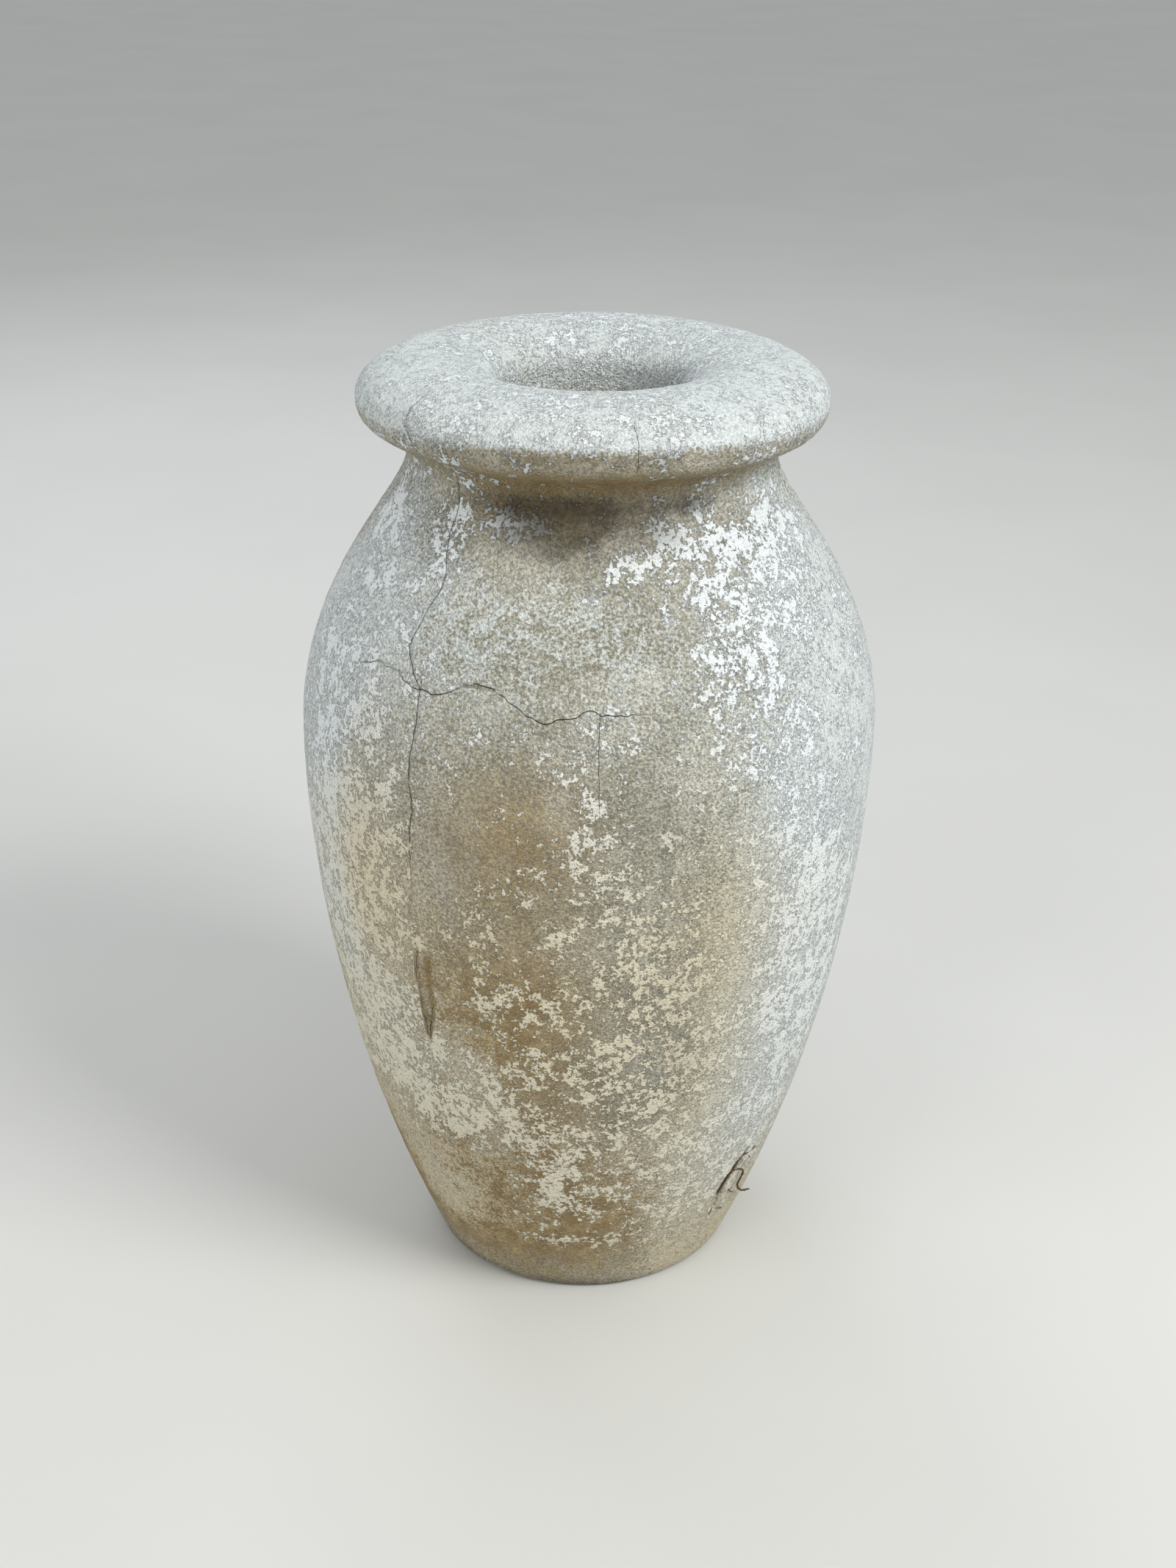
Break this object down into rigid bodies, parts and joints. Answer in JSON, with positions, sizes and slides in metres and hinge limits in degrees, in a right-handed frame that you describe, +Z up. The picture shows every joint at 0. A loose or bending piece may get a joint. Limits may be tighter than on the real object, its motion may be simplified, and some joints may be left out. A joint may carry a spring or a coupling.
{
  "type": "garden jar",
  "caption": "Tall free-standing cement garden jar with a rolled rim, a narrow throat, a wide shoulder and a body tapering to a flat foot, cast round a wire cage, for planting or display",
  "frame": {"origin": "centre of the foot's underside, on the floor", "axes": "+Z up along the jar's axis; the front, with the long crack at its left, faces -Y; +X to the viewer's right"},
  "size_m": [0.3628, 0.3628, 0.61],
  "materials": {
    "cement": "rough sand-cement with worn, flaking white limewash",
    "mortar": "rough bedding mortar",
    "wire": "rusted steel wire",
    "strand": "rusted frayed wire strand"
  },
  "bodies": {
    "root": {"foot_slab": "cement", "body_wall": "cement", "shoulder_wall": "cement", "rim_ring": "cement", "bed_foot": "mortar", "bed_shoulder": "mortar", "bed_neck": "mortar", "upright_1": "wire", "upright_2": "wire", "upright_3": "wire", "upright_4": "wire", "upright_5": "wire", "upright_6": "wire", "upright_7": "wire", "upright_8": "wire", "hoop_foot": "wire", "hoop_shoulder": "wire", "hoop_neck": "wire", "hoop_rim": "wire", "strand_hook": "strand", "strand_straight": "strand"}
  },
  "joints": []
}
